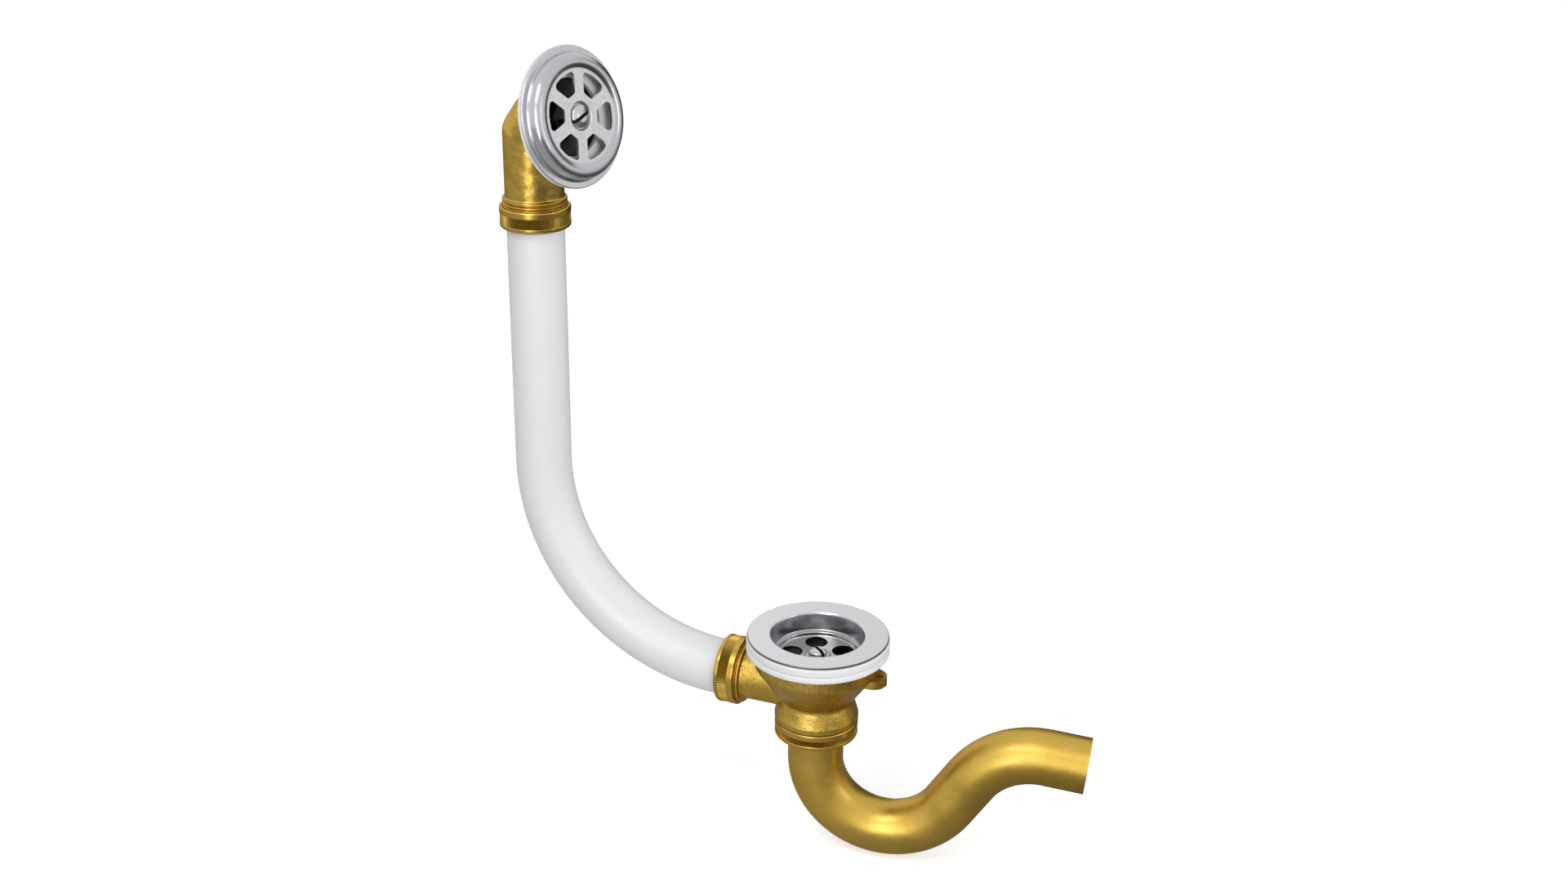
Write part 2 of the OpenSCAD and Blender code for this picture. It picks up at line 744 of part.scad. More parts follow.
// Outline of one window along +X: side edges run beside the spokes
module window_shape() {
    half = 180 / windows;
    side = spoke_w / 2;
    in_y = window_in_r * tan(half) - side / cos(half);
    out_a = half - asin(side / window_out_r);
    arc_points = [for (i = [1 : 5])
        let (a = out_a * (1 - i / 3)) window_out_r * [cos(a), sin(a)]];
    polygon(outline(concat(
        [[window_in_r, -in_y, 1.5], [window_out_r * cos(out_a), -window_out_r * sin(out_a), 2]],
        [for (i = [4 : -1 : 0]) [arc_points[i].x, arc_points[i].y, 0]],
        [[window_out_r * cos(out_a), window_out_r * sin(out_a), 2], [window_in_r, in_y, 1.5]])));
}

// Pressed plate: flat rim, rounded ridge, flat middle with windows, dished screw seat
module overflow_plate() {
    t = sheet_t;
    hole_r = screw_d / 2 + hole_gap;
    color("silver") at_overflow() at_mouth() difference() {
        turned([[plate_d / 2, 0, 0.3], [plate_d / 2, t, 0.5], [plate_foot_r, t, 0.4],
                [ridge_r, plate_h, 3.6], [disc_r + ridge_inside, plate_h, 2.4],
                [disc_r - disc_lean, disc_top, 0.5],
                [dish_r + dish_slope, disc_top, 0.4], [dish_r, head_seat, 0.3], [hole_r, head_seat, 0],
                [hole_r, head_seat - t, 0], [dish_r + dish_slope, head_seat - t, 0.8],
                [dish_r + 2 * dish_slope, disc_top - t, 0.6],
                [disc_r - disc_lean, disc_top - t, 1.6],
                [disc_r + ridge_inside, plate_h - t, 1.2],
                [ridge_r - t, plate_h - t, 2.4], [plate_foot_r - t, 0, 1.4]]);
        for (i = [0 : windows - 1])
            rotate([0, 0, 90 + window_turn + 360 * i / windows]) translate([0, 0, disc_top - 3 * t])
                linear_extrude(6 * t) window_shape();
    }
}

module overflow_screw() {
    color("gainsboro") at_overflow() at_mouth() translate([0, 0, head_seat])
        rotate([0, 0, overflow_slot_turn])
        slotted_screw(overflow_head_d, head_seat - boss_top + boss_h - screw_end);
}

waste_flange();
waste_screw();
upper_ring();
lower_ring();
waste_body();
trap_nut();
trap_seal();
trap_collar();
trap_tube();
branch_nut();
branch_slip_ring();
branch_seal();
overflow_pipe();
overflow_nut();
overflow_slip_ring();
overflow_seal();
overflow_elbow();
overflow_gasket();
overflow_plate();
overflow_screw();
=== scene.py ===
"""Dresses a brass bath waste with its overflow pipe and S-shaped trap tube, on a studio floor."""
import json
import math

import bmesh
import bpy
from bpy.props import FloatProperty, FloatVectorProperty, PointerProperty
from mathutils import Matrix, Vector


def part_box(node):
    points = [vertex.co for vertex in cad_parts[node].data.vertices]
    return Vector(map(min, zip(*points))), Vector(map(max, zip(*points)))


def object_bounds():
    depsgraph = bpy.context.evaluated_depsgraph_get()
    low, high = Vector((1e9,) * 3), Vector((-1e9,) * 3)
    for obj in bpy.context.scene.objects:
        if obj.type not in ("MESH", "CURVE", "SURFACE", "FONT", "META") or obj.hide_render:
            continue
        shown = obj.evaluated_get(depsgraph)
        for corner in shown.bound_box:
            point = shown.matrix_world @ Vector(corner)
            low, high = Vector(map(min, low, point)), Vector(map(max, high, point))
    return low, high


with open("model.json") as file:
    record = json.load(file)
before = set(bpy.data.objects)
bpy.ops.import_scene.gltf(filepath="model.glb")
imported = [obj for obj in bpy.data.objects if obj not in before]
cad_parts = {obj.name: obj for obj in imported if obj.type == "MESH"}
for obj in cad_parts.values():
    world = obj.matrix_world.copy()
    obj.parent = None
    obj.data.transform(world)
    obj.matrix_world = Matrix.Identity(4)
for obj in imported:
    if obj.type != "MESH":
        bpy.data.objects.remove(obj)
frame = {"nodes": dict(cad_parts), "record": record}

bl_info = {
    "name": "Bath trap",
    "version": (1, 0, 0),
    "blender": (4, 5, 0),
    "location": "View3D > Sidebar > Bath Trap",
    "description": "Finishes and studio for a brass bath waste with overflow and trap",
    "category": "Object",
}

MM = 0.001
CAD_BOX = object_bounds()
NODES = frame["nodes"]
MOUTH = next(m for m in frame["record"]["mounts"] if m["name"] == "overflow_outlet")
RADIUS, HEIGHT = 0, 1
DRAIN = (0, 0, 0), (0, 0, 1)
OVERFLOW = MOUTH["pos_m"], MOUTH["axis"]


def linear(code):
    """Linear RGBA of an sRGB hex colour."""
    values = [int(code[i:i + 2], 16) / 255 for i in (1, 3, 5)]
    return [v / 12.92 if v <= 0.04045 else ((v + 0.055) / 1.055) ** 2.4 for v in values] + [1.0]


def colour_property(name, description, code):
    """Colour setting shown as a swatch."""
    return FloatVectorProperty(name=name, description=description, subtype="COLOR", size=4,
                               min=0, max=1, default=linear(code))


def add_node(tree, kind, inputs=None, **settings):
    """Adds a shader node with its settings; inputs are values or the sockets to link from."""
    node = tree.nodes.new(kind)
    for name, value in settings.items():
        setattr(node, name, value)
    for socket, value in (inputs or {}).items():
        if isinstance(value, bpy.types.NodeSocket):
            tree.links.new(value, node.inputs[socket])
        else:
            node.inputs[socket].default_value = value
    return node


def new_material(name):
    """Empty node material: its tree, its object coordinates and its output."""
    material = bpy.data.materials.new(name)
    material.use_nodes = True
    tree = material.node_tree
    tree.nodes.clear()
    place = add_node(tree, "ShaderNodeTexCoord").outputs["Object"]
    output = add_node(tree, "ShaderNodeOutputMaterial")
    return material, tree, place, output


def per_metre(millimetres):
    """Noise or wave scale whose features are that many millimetres apart."""
    return 1 / (millimetres * MM)


def round_axis(tree, place, centre, axis):
    """Distance from an axis and height along it, both in metres."""
    offset = add_node(tree, "ShaderNodeVectorMath", {0: place, 1: centre}, operation="SUBTRACT")
    across = add_node(tree, "ShaderNodeVectorMath", {0: offset.outputs[0], 1: axis},
                      operation="CROSS_PRODUCT")
    radius = add_node(tree, "ShaderNodeVectorMath", {0: across.outputs[0]}, operation="LENGTH")
    height = add_node(tree, "ShaderNodeVectorMath", {0: offset.outputs[0], 1: axis},
                      operation="DOT_PRODUCT")
    return radius.outputs["Value"], height.outputs["Value"]


def round_mask(tree, place, centre, axis, *edges):
    """Mask of a zone round an axis. Each edge is RADIUS or HEIGHT and the two values, in
    millimetres, between which the mask rises from 0 to 1."""
    values = round_axis(tree, place, centre, axis)
    mask = 1.0
    for which, start, end in edges:
        edge = add_node(tree, "ShaderNodeMapRange", {"Value": values[which], "From Min": start * MM,
                                                     "From Max": end * MM})
        mask = add_node(tree, "ShaderNodeMath", {0: edge.outputs["Result"], 1: mask},
                        operation="MULTIPLY").outputs[0]
    return mask


def dress(material, *names):
    """Gives CAD nodes their finish."""
    for name in names:
        NODES[name].data.materials.clear()
        NODES[name].data.materials.append(material)


class FinishSettings(bpy.types.PropertyGroup):
    """Colours of the finishes."""
    brass: colour_property("Brass", "Bare brass of the castings, nuts and tube", "#d0ac49")
    tarnish: colour_property("Tarnish", "Brass in pits and grooves", "#5c4510")
    scale: colour_property("Scale", "Dull skin inside the drain's casting", "#4f493f")
    # Grey skin inside the elbow's mouth, darkened so that it also paints the shade deep in the mouth.
    tinning_and_shade: colour_property("Tinning", "Grey skin inside the elbow's mouth", "#5e5e5c")
    steel: colour_property("Steel", "Pressed stainless steel", "#e6e7e9")
    # Painted shade: a dark line round the flange's outer edge.
    edge: colour_property("Cut edge", "Cut edge of the flange's sheet", "#77787a")
    screw: colour_property("Screws", "Heads of the two screws", "#c4c5c7")
    # Dark colour painted along the screws' slots.
    slot_dark: colour_property("Grime", "Dirt in the screws' slots", "#39383a")
    # Polished steel of the cup, coloured darker than the flange's steel as painted shade of the recess.
    cup: colour_property("Cup", "Steel inside the strainer cup", "#b2b3b5")
    # Darker than the steel of the rim and the disc: painted shade on the ridge.
    plate: colour_property("Plate", "Ridge of the overflow plate", "#b8b9bc")
    pipe: colour_property("Pipe", "White moulded pipe", "#f2f2f4")
    ring: colour_property("Rings", "White rubber rings", "#f7f7f8")
    seal: colour_property("Seals", "Black rubber seals", "#1c1c1d")


class StageSettings(bpy.types.PropertyGroup):
    """Camera and studio."""
    azimuth: FloatProperty(name="Azimuth", description="Turn of the view about the upright",
                           subtype="ANGLE", default=math.radians(20.73))
    pitch: FloatProperty(name="Pitch", description="How far the camera looks down",
                         subtype="ANGLE", default=math.radians(22.60))
    roll: FloatProperty(name="Roll", description="Roll of the camera", subtype="ANGLE",
                        default=math.radians(0.84))
    distance: FloatProperty(name="Distance", description="Camera to the point it looks at",
                            unit="LENGTH", default=0.950)
    target: FloatVectorProperty(name="Target", description="Point that the camera looks at",
                                subtype="TRANSLATION", size=3, default=(-0.0195, 0, 0.0996))
    focal_length: FloatProperty(name="Focal length", description="Lens on a 36 mm wide frame",
                                unit="CAMERA", default=45.785)
    strip_power: FloatProperty(name="Strip power", description="Power of the standing strip light",
                               unit="POWER", default=5.6)
    side_power: FloatProperty(name="Side power", description="Power of the light on the right",
                              unit="POWER", default=5.6)
    top_power: FloatProperty(name="Top power", description="Power of the light above the camera",
                             unit="POWER", default=5.4)
    glint_power: FloatProperty(name="Glint power", unit="POWER", default=1.4,
                               description="Power of the narrow light that only the gloss sees")
    fill: FloatProperty(name="Fill", description="Strength of the room's light", default=0.50)


def brass_material(name, grain, grain_height, wave_height, roughness, dull=None, skin=None):
    """Brass under a thin lacquer. The grain and the slow waves, in millimetres, are what its
    making leaves: they and the roughness decide how wide the highlights spread and how they break
    up. The dull mask, made from the tree and the place, is where the metal has another skin."""
    finish = bpy.context.scene.bath_trap_finish
    material, tree, place, output = new_material(name)
    cloud = add_node(tree, "ShaderNodeTexNoise", {"Vector": place, "Scale": per_metre(16),
                                                  "Detail": 3.0, "Roughness": 0.6})
    pores = add_node(tree, "ShaderNodeTexNoise", {"Vector": place, "Scale": per_metre(grain),
                                                  "Detail": 4.0, "Roughness": 0.62})
    soft = [0.78 * c for c in finish.brass[:3]] + [1]
    tint = add_node(tree, "ShaderNodeMix", {0: cloud.outputs["Fac"], 6: soft, 7: list(finish.brass)},
                    data_type="RGBA")
    pits = add_node(tree, "ShaderNodeMapRange", {"Value": pores.outputs["Fac"], "From Min": 0.47,
                                                 "From Max": 0.33, "To Max": min(1, 3.5 * grain_height)})
    speckled = add_node(tree, "ShaderNodeMix", {0: pits.outputs["Result"], 6: tint.outputs[2],
                                                7: list(finish.tarnish)}, data_type="RGBA")
    gloss = add_node(tree, "ShaderNodeMapRange", {"Value": cloud.outputs["Fac"],
                                                  "From Min": 0.3, "From Max": 0.7,
                                                  "To Min": roughness * 0.85,
                                                  "To Max": roughness * 1.2}).outputs["Result"]
    colour = speckled.outputs[2]
    if dull:
        mask = dull(tree, place)
        colour = add_node(tree, "ShaderNodeMix", {0: mask, 6: colour, 7: list(skin)},
                          data_type="RGBA").outputs[2]
        gloss = add_node(tree, "ShaderNodeMix", {0: mask, 2: gloss, 3: 0.6}).outputs[0]
    waves = add_node(tree, "ShaderNodeTexNoise", {"Vector": place, "Scale": per_metre(7),
                                                  "Detail": 1.0})
    swell = add_node(tree, "ShaderNodeBump", {"Height": waves.outputs["Fac"], "Strength": 1.0,
                                              "Distance": wave_height * MM})
    bump = add_node(tree, "ShaderNodeBump", {"Height": pores.outputs["Fac"], "Strength": 1.0,
                                             "Distance": grain_height * MM,
                                             "Normal": swell.outputs["Normal"]})
    shader = add_node(tree, "ShaderNodeBsdfPrincipled",
                      {"Base Color": colour, "Metallic": 1.0, "Roughness": gloss,
                       "Specular Tint": linear("#c9a24a"), "Coat Weight": 0.45,
                       "Coat Roughness": 0.20, "Normal": bump.outputs["Normal"]})
    tree.links.new(shader.outputs["BSDF"], output.inputs["Surface"])
    return material


def inside_casting(line, narrow, wide, slope, start, reach):
    """Mask of a casting's inside round its line, in millimetres: within a wall whose radius
    follows the height from its narrow to its wide end, and above the reach, where it fades."""
    def inside(tree, place):
        radius, height = round_axis(tree, place, *line)
        cone = add_node(tree, "ShaderNodeMath", {0: height, 1: slope, 2: start * MM},
                        operation="MULTIPLY_ADD")
        upper = add_node(tree, "ShaderNodeMath", {0: cone.outputs[0], 1: wide * MM},
                         operation="MINIMUM")
        wall = add_node(tree, "ShaderNodeMath", {0: upper.outputs[0], 1: narrow * MM},
                        operation="MAXIMUM")
        depth = add_node(tree, "ShaderNodeMath", {0: wall.outputs[0], 1: radius},
                         operation="SUBTRACT")
        within = add_node(tree, "ShaderNodeMapRange", {"Value": depth.outputs[0],
                                                       "From Min": -0.2 * MM,
                                                       "From Max": 0.2 * MM})
        above = add_node(tree, "ShaderNodeMapRange", {"Value": height, "From Min": reach[0] * MM,
                                                      "From Max": reach[1] * MM})
        mask = add_node(tree, "ShaderNodeMath", {0: within.outputs["Result"],
                                                 1: above.outputs["Result"]},
                        operation="MULTIPLY")
        return mask.outputs[0]
    return inside


def knurl_grooves(name, axis, tip):
    """Mask of the grooves between a nut's teeth: deeper than the tips, within the toothed band."""
    low, high = (Vector(corner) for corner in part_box(name))
    centre = (low + high) / 2
    half = (high - low).dot(Vector(axis)) / 2 / MM

    def grooves(tree, place):
        return round_mask(tree, place, centre, axis, (HEIGHT, 2.1 - half, 2.4 - half),
                          (HEIGHT, half - 3.2, half - 3.5), (RADIUS, tip - 0.05, tip - 0.4))
    return grooves


class BATHTRAP_OT_strainer(bpy.types.Operator):
    """Finish the pressed flange and its cup"""
    bl_idname = "bath_trap.strainer"
    bl_label = "Strainer"

    def execute(self, context):
        finish = context.scene.bath_trap_finish
        # Pressed from sheet and brushed: a fine even grain that spreads the light over the top, and a
        # polished cup with sharp dark reflections. The cup's steel is coloured darker than the top as
        # painted shade of the recess, and the sheet's outer edge is painted dark as a line of shade.
        material, tree, place, output = new_material("satin_stainless_pressing")
        grain = add_node(tree, "ShaderNodeTexNoise", {"Vector": place, "Scale": per_metre(1.0),
                                                      "Detail": 3.0, "Roughness": 0.7})
        dust = add_node(tree, "ShaderNodeMapRange", {"Value": grain.outputs["Fac"],
                                                     "From Min": 0.40, "From Max": 0.60,
                                                     "To Min": 0.88, "To Max": 1.0})
        grey = add_node(tree, "ShaderNodeMix", {0: 1.0, 6: list(finish.steel),
                                                7: dust.outputs["Result"]},
                        data_type="RGBA", blend_type="MULTIPLY")
        cup = round_mask(tree, place, *DRAIN, (RADIUS, 24.3, 22.6))
        # Painted shade: the outer edge of the sheet turns dark.
        edge = round_mask(tree, place, *DRAIN, (RADIUS, 34.5, 34.8))
        # Painted shade: the cup takes the darker cup colour.
        inner = add_node(tree, "ShaderNodeMix", {0: cup, 6: grey.outputs[2], 7: list(finish.cup)},
                         data_type="RGBA")
        tint = add_node(tree, "ShaderNodeMix", {0: edge, 6: inner.outputs[2],
                                                7: list(finish.edge)}, data_type="RGBA")
        gloss = add_node(tree, "ShaderNodeMix", {0: cup, 2: 0.42, 3: 0.20})
        bump = add_node(tree, "ShaderNodeBump", {"Height": grain.outputs["Fac"], "Strength": 1.0,
                                                 "Distance": 0.03 * MM})
        shader = add_node(tree, "ShaderNodeBsdfPrincipled",
                          {"Base Color": tint.outputs[2], "Metallic": 1.0,
                           "Roughness": gloss.outputs[0], "Normal": bump.outputs["Normal"]})
        tree.links.new(shader.outputs["BSDF"], output.inputs["Surface"])
        dress(material, "waste_flange")
        return {"FINISHED"}


class BATHTRAP_OT_grille(bpy.types.Operator):
    """Finish the pressed overflow plate"""
    bl_idname = "bath_trap.grille"
    bl_label = "Overflow plate"

    def execute(self, context):
        finish = context.scene.bath_trap_finish
        # Pressed, then polished on its ridge: clear bright streaks there, while the rim and the disc are
        # worn to a cloudy satin. The ridge is coloured darker than the rim and the disc as painted shade,
        # and the rim takes half of that darkening.
        material, tree, place, output = new_material("polished_stainless_pressing")
        grain = add_node(tree, "ShaderNodeTexNoise", {"Vector": place, "Scale": per_metre(1.0),
                                                      "Detail": 3.0, "Roughness": 0.7})
        rim = round_mask(tree, place, *OVERFLOW, (RADIUS, 28.5, 30.5))
        disc = round_mask(tree, place, *OVERFLOW, (RADIUS, 22.5, 21.0))
        matt = add_node(tree, "ShaderNodeMath", {0: rim, 1: 0.5, 2: disc},
                        operation="MULTIPLY_ADD")
        cloud = add_node(tree, "ShaderNodeTexNoise", {"Vector": place, "Scale": per_metre(9),
                                                      "Detail": 2.0})
        dark = add_node(tree, "ShaderNodeMapRange", {"Value": grain.outputs["Fac"],
                                                     "From Min": 0.40, "From Max": 0.60,
                                                     "To Min": 0.80, "To Max": 1.0})
        worn = add_node(tree, "ShaderNodeMix", {0: 1.0, 6: list(finish.steel),
                                                7: dark.outputs["Result"]},
                        data_type="RGBA", blend_type="MULTIPLY")
        tint = add_node(tree, "ShaderNodeMix", {0: matt.outputs[0], 6: list(finish.plate),
                                                7: worn.outputs[2]}, data_type="RGBA")
        satin = add_node(tree, "ShaderNodeMapRange", {"Value": cloud.outputs["Fac"],
                                                      "From Min": 0.35, "From Max": 0.65,
                                                      "To Min": 0.26, "To Max": 0.40})
        gloss = add_node(tree, "ShaderNodeMix", {0: matt.outputs[0], 2: 0.20,
                                                 3: satin.outputs["Result"]})
        bump = add_node(tree, "ShaderNodeBump", {"Height": grain.outputs["Fac"], "Strength": 1.0,
                                                 "Distance": 0.02 * MM})
        shader = add_node(tree, "ShaderNodeBsdfPrincipled",
                          {"Base Color": tint.outputs[2], "Metallic": 1.0,
                           "Roughness": gloss.outputs[0], "Normal": bump.outputs["Normal"]})
        tree.links.new(shader.outputs["BSDF"], output.inputs["Surface"])
        dress(material, "overflow_plate")
        return {"FINISHED"}


class BATHTRAP_OT_screws(bpy.types.Operator):
    """Finish the two slotted screws"""
    bl_idname = "bath_trap.screws"
    bl_label = "Screws"

    def execute(self, context):
        finish = context.scene.bath_trap_finish
        slots = {"waste_screw": (DRAIN, (0.588, 0.809, 0.0)),
                 "overflow_screw": (OVERFLOW, (-0.290, -0.273, 0.917))}
        for name, ((centre, _), across) in slots.items():
            # Turned and then handled: small sharp highlights that the wear bends, and a dark colour painted
            # along the slot.
            material, tree, place, output = new_material("turned_steel_" + name)
            offset = add_node(tree, "ShaderNodeVectorMath", {0: place, 1: centre},
                              operation="SUBTRACT")
            aside = add_node(tree, "ShaderNodeVectorMath", {0: offset.outputs[0], 1: across},
                             operation="DOT_PRODUCT")
            distance = add_node(tree, "ShaderNodeMath", {0: aside.outputs["Value"]},
                                operation="ABSOLUTE")
            slot = add_node(tree, "ShaderNodeMapRange", {"Value": distance.outputs[0],
                                                         "From Min": 0.95 * MM,
                                                         "From Max": 0.75 * MM})
            wear = add_node(tree, "ShaderNodeTexNoise", {"Vector": place, "Scale": per_metre(2.0),
                                                         "Detail": 3.0})
            tint = add_node(tree, "ShaderNodeMix", {0: slot.outputs["Result"],
                                                    6: list(finish.screw),
                                                    7: list(finish.slot_dark)}, data_type="RGBA")
            gloss = add_node(tree, "ShaderNodeMapRange", {"Value": wear.outputs["Fac"],
                                                          "To Min": 0.14, "To Max": 0.30})
            bump = add_node(tree, "ShaderNodeBump", {"Height": wear.outputs["Fac"],
                                                     "Strength": 1.0, "Distance": 0.05 * MM})
            shader = add_node(tree, "ShaderNodeBsdfPrincipled",
                              {"Base Color": tint.outputs[2], "Metallic": 1.0,
                               "Roughness": gloss.outputs["Result"],
                               "Normal": bump.outputs["Normal"]})
            tree.links.new(shader.outputs["BSDF"], output.inputs["Surface"])
            dress(material, name)
        return {"FINISHED"}


class BATHTRAP_OT_rings(bpy.types.Operator):
    """Finish the white rings and the gasket"""
    bl_idname = "bath_trap.rings"
    bl_label = "White rings"

    def execute(self, context):
        finish = context.scene.bath_trap_finish
        # Moulded: an even white with a fine dull skin, so it has no clear highlight.
        material, tree, place, output = new_material("white_moulded_rubber")
        cloud = add_node(tree, "ShaderNodeTexNoise", {"Vector": place, "Scale": per_metre(6),
                                                      "Detail": 2.0})
        tint = add_node(tree, "ShaderNodeMix", {0: cloud.outputs["Fac"],
                                                6: [0.95 * c for c in finish.ring[:3]] + [1],
                                                7: list(finish.ring)}, data_type="RGBA")
        skin = add_node(tree, "ShaderNodeTexNoise", {"Vector": place, "Scale": per_metre(1.1),
                                                     "Detail": 2.0})
        bump = add_node(tree, "ShaderNodeBump", {"Height": skin.outputs["Fac"], "Strength": 1.0,
                                                 "Distance": 0.02 * MM})
        shader = add_node(tree, "ShaderNodeBsdfPrincipled",
                          {"Base Color": tint.outputs[2], "Roughness": 0.5,
                           "Normal": bump.outputs["Normal"]})
        tree.links.new(shader.outputs["BSDF"], output.inputs["Surface"])
        dress(material, "upper_ring", "lower_ring", "overflow_gasket")
        return {"FINISHED"}


class BATHTRAP_OT_pipe(bpy.types.Operator):
    """Finish the white overflow pipe"""
    bl_idname = "bath_trap.pipe"
    bl_label = "Overflow pipe"

    def execute(self, context):
        finish = context.scene.bath_trap_finish
        # Extruded and bent warm: a smooth face whose slow waves make the long highlight uneven.
        material, tree, place, output = new_material("white_extruded_pipe")
        cloud = add_node(tree, "ShaderNodeTexNoise", {"Vector": place, "Scale": per_metre(22),
                                                      "Detail": 2.0})
        tint = add_node(tree, "ShaderNodeMix", {0: cloud.outputs["Fac"],
                                                6: [0.96 * c for c in finish.pipe[:3]] + [1],
                                                7: list(finish.pipe)}, data_type="RGBA")
        gloss = add_node(tree, "ShaderNodeMapRange", {"Value": cloud.outputs["Fac"],
                                                      "To Min": 0.34, "To Max": 0.46})
        bump = add_node(tree, "ShaderNodeBump", {"Height": cloud.outputs["Fac"], "Strength": 1.0,
                                                 "Distance": 0.12 * MM})
        shader = add_node(tree, "ShaderNodeBsdfPrincipled",
                          {"Base Color": tint.outputs[2], "Roughness": gloss.outputs["Result"],
                           "Normal": bump.outputs["Normal"]})
        tree.links.new(shader.outputs["BSDF"], output.inputs["Surface"])
        dress(material, "overflow_pipe")
        return {"FINISHED"}


class BATHTRAP_OT_brass(bpy.types.Operator):
    """Finish the castings, the nuts and the trap tube"""
    bl_idname = "bath_trap.brass"
    bl_label = "Brass"

    def execute(self, context):
        finish = context.scene.bath_trap_finish
        # Sand castings: coarse pores with tarnish in them and an uneven face, so their highlights break up.
        # A dull skin stays on the inside, where no tool went; inside the elbow's mouth it is also darkened
        # as painted shade of the recess.
        bowl = inside_casting(DRAIN, 16.6, 29.8, 0.75, 41.8, (-70, -65))
        mouth = inside_casting(OVERFLOW, 13.0, 19.2, 1.0, 24.6, (-22, -14))
        dress(brass_material("sand_cast_brass_drain", 1.1, 0.20, 0.5, 0.37, bowl, finish.scale),
              "waste_body")
        dress(brass_material("sand_cast_brass_elbow", 1.2, 0.09, 0.6, 0.28, mouth, finish.tinning_and_shade),
              "overflow_elbow")
        # Turned nuts: a fine face with tight highlights, and tarnish between the knurl's teeth.
        nuts = {"branch_nut": ((1, 0, 0), 17.0), "overflow_nut": ((0, 0, 1), 17.0),
                "trap_nut": ((0, 0, 1), 20.2)}
        for name, (axis, tip) in nuts.items():
            dress(brass_material("turned_brass_" + name, 1.6, 0.02, 0.1, 0.22,
                                 knurl_grooves(name, axis, tip), finish.tarnish), name)
        # Drawn tube: hardly any grain, so the light runs along it in wide soft bands.
        dress(brass_material("drawn_brass_tube", 2.4, 0.012, 0.12, 0.42), "trap_tube")
        dress(brass_material("turned_brass_inside", 1.6, 0.02, 0.1, 0.30), "trap_collar",
              "branch_slip_ring", "overflow_slip_ring")
        return {"FINISHED"}


class BATHTRAP_OT_seals(bpy.types.Operator):
    """Finish the rubber seals inside the joints"""
    bl_idname = "bath_trap.seals"
    bl_label = "Seals"

    def execute(self, context):
        finish = context.scene.bath_trap_finish
        # Pressed in a mould: a dull black skin that shows only as dark in the joints.
        material, tree, place, output = new_material("black_nitrile_rubber")
        skin = add_node(tree, "ShaderNodeTexNoise", {"Vector": place, "Scale": per_metre(1.5)})
        bump = add_node(tree, "ShaderNodeBump", {"Height": skin.outputs["Fac"], "Strength": 1.0,
                                                 "Distance": 0.02 * MM})
        shader = add_node(tree, "ShaderNodeBsdfPrincipled",
                          {"Base Color": list(finish.seal), "Roughness": 0.6,
                           "Normal": bump.outputs["Normal"]})
        tree.links.new(shader.outputs["BSDF"], output.inputs["Surface"])
        dress(material, "trap_seal", "branch_seal", "overflow_seal")
        return {"FINISHED"}


def view_axes(azimuth, pitch, roll):
    """Right, up and back directions of the camera."""
    back = Vector((math.sin(azimuth) * math.cos(pitch), -math.cos(azimuth) * math.cos(pitch),
                   math.sin(pitch)))
    level = Vector((math.cos(azimuth), math.sin(azimuth), 0))
    upright = back.cross(level)
    right = math.cos(roll) * level + math.sin(roll) * upright
    up = math.cos(roll) * upright - math.sin(roll) * level
    return right, up, back


def seen_background(tree, output, plain, seen):
    """Shows one shader to diffuse light and another to the camera, to gloss and to glass."""
    path = add_node(tree, "ShaderNodeLightPath")
    either = add_node(tree, "ShaderNodeMath", {0: path.outputs["Is Camera Ray"],
                                               1: path.outputs["Is Glossy Ray"]},
                      operation="MAXIMUM")
    any_of = add_node(tree, "ShaderNodeMath", {0: either.outputs[0],
                                               1: path.outputs["Is Transmission Ray"]},
                      operation="MAXIMUM")
    mix = add_node(tree, "ShaderNodeMixShader", {0: any_of.outputs[0], 1: plain, 2: seen})
    tree.links.new(mix.outputs[0], output.inputs["Surface"])


